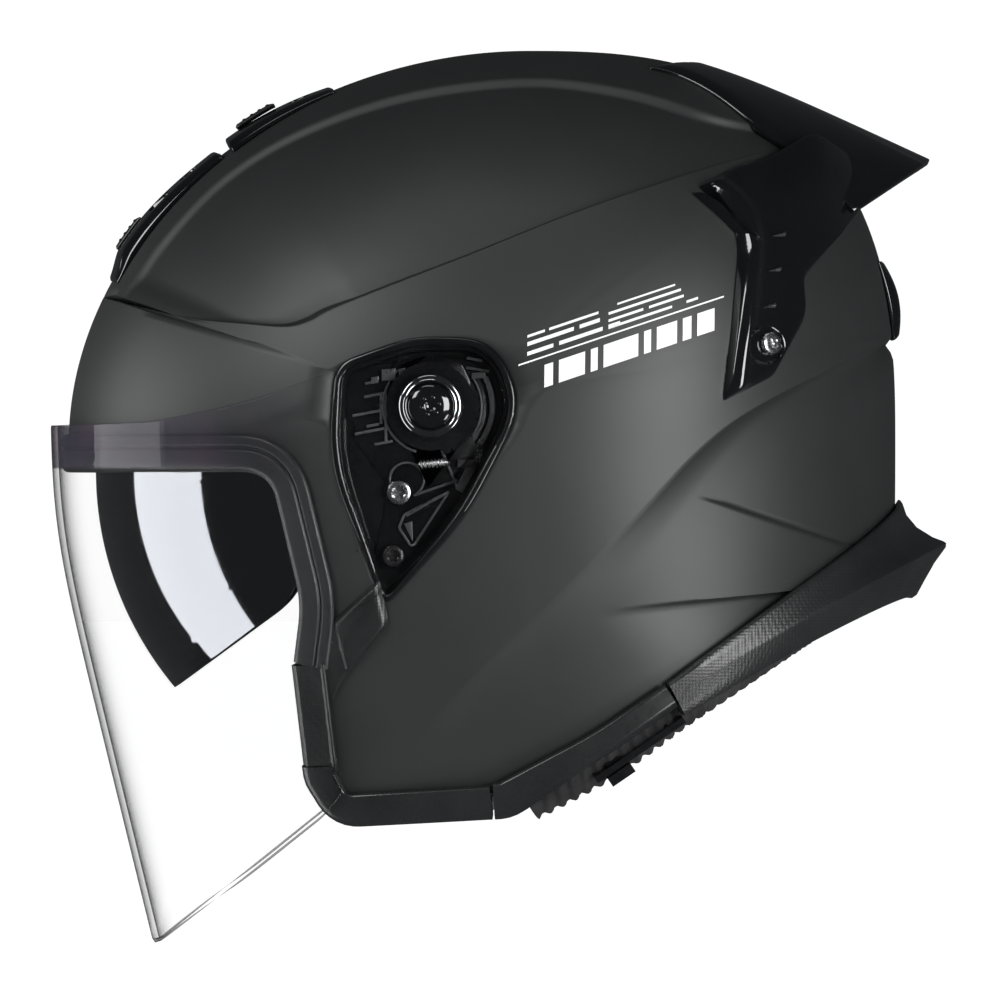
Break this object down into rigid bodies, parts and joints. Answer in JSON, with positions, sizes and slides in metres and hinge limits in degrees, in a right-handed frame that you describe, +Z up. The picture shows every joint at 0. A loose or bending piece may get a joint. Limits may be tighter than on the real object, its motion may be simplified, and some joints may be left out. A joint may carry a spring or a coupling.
{
  "type": "open face motorcycle helmet",
  "caption": "Open face motorcycle helmet with a long hinged clear visor, a swing-down sun visor, vent sliders, a rear spoiler and a ratchet chin strap.",
  "frame": {"origin": "centre of the wearer's head, midway between the ears and on the helmet's plane of symmetry", "axes": "+Z up, -Y the way the wearer faces, +X to the wearer's left"},
  "size_m": [0.2562, 0.2986, 0.2995],
  "materials": {
    "matt_shell": "matt lacquer on a moulded shell",
    "foam": "expanded polystyrene bead foam",
    "lining": "brushed knit over foam",
    "cheek_cloth": "printed knit over foam",
    "neck_cloth": "ribbed knit over foam",
    "gasket": "black rubber channel",
    "textured_trim": "black moulded plastic with a fine dot texture",
    "plain_trim": "satin black moulded plastic",
    "mechanism": "black acetal",
    "lever": "dark grey acetal",
    "steel": "bright zinc",
    "black_screw": "blackened steel",
    "grey_screw": "dark zinc",
    "hub": "dark chrome ring with a gloss dome",
    "clear_visor": "clear polycarbonate with a faint mirror band",
    "smoke_visor": "dark smoke polycarbonate",
    "slider": "black nylon",
    "gloss": "piano black",
    "vents": "gloss black moulded plastic",
    "webbing": "woven polyester webbing",
    "buckle": "black nylon",
    "buckle_red": "red nylon"
  },
  "bodies": {
    "helmet": {"outer_shell": "matt_shell", "impact_foam": "foam", "crown_padding": "lining", "cheek_pad_left": "cheek_cloth", "cheek_pad_right": "cheek_cloth", "neck_roll": "neck_cloth", "eyeport_gasket": "gasket", "cheek_trim_left": "textured_trim", "cheek_trim_right": "textured_trim", "edge_trim_front_left": "plain_trim", "edge_trim_front_right": "plain_trim", "edge_trim_side_left": "plain_trim", "edge_trim_side_right": "plain_trim", "rear_lip": "textured_trim", "hinge_cover_left": "textured_trim", "hinge_cover_right": "textured_trim", "base_plate_left": "mechanism", "base_plate_right": "mechanism", "plate_screws": "steel", "lower_plate_screws": "black_screw", "lever_springs": "steel", "visor_hub_left": "hub", "visor_hub_right": "hub", "sun_visor_pins": "steel", "sun_slider_track": "slider", "spoiler_plate": "gloss", "spoiler_wing_left": "gloss", "spoiler_wing_right": "gloss", "spoiler_screws": "grey_screw", "brow_vent": "vents", "crown_vent": "vents", "rear_vent": "vents", "strap_left": "webbing", "strap_right": "webbing", "strap_anchors": "steel", "buckle_body": "buckle", "buckle_pin": "steel", "buckle_tongue": "buckle"},
    "visor": {"visor": "clear_visor", "ratchet_left": "mechanism", "ratchet_right": "mechanism"},
    "sun_visor": {"sun_visor": "smoke_visor"},
    "sun_slider": {"sun_slider": "slider"},
    "brow_vent_slider": {"brow_vent_slider": "vents"},
    "crown_vent_slider": {"crown_vent_slider": "vents"},
    "release_lever_left": {"release_lever_left": "lever"},
    "release_lever_right": {"release_lever_right": "lever"},
    "buckle_lever": {"buckle_lever": "buckle_red"}
  },
  "joints": [
    {"name": "visor_hinge", "type": "hinge", "parent": "helmet", "child": "visor", "pos_m": [0, -0.016, 0.004], "axis": [-1, 0, 0], "range_deg": [0, 80]},
    {"name": "sun_visor_hinge", "type": "hinge", "parent": "helmet", "child": "sun_visor", "pos_m": [0, -0.016, -0.017], "axis": [-1, 0, 0], "range_deg": [0, 37]},
    {"name": "sun_slider_slide", "type": "slide", "parent": "helmet", "child": "sun_slider", "axis": [-0.0017, 0.8246, 0.5657], "range_m": [0, 0.016]},
    {"name": "brow_vent_slide", "type": "slide", "parent": "helmet", "child": "brow_vent_slider", "axis": [0, 0.5908, 0.8068], "range_m": [0, 0.005]},
    {"name": "crown_vent_slide", "type": "slide", "parent": "helmet", "child": "crown_vent_slider", "axis": [0, 0.8532, 0.5215], "range_m": [0, 0.005]},
    {"name": "release_lever_left_slide", "type": "slide", "parent": "helmet", "child": "release_lever_left", "axis": [0, -1, 0], "range_m": [0, 0.002], "stiffness_N_per_m": 400, "springref_m": -0.001},
    {"name": "release_lever_right_slide", "type": "slide", "parent": "helmet", "child": "release_lever_right", "axis": [0, -1, 0], "range_m": [0, 0.002], "stiffness_N_per_m": 400, "springref_m": -0.001},
    {"name": "buckle_lever_hinge", "type": "hinge", "parent": "helmet", "child": "buckle_lever", "pos_m": [0.012, 0, -0.13], "axis": [0, -1, 0], "range_deg": [0, 60], "stiffness_Nm_per_rad": 0.02, "springref_deg": -11.46}
  ],
  "couplings": [
    {"joint": "sun_slider_slide", "follows": "sun_visor_hinge", "m_per_rad": 0.024}
  ]
}
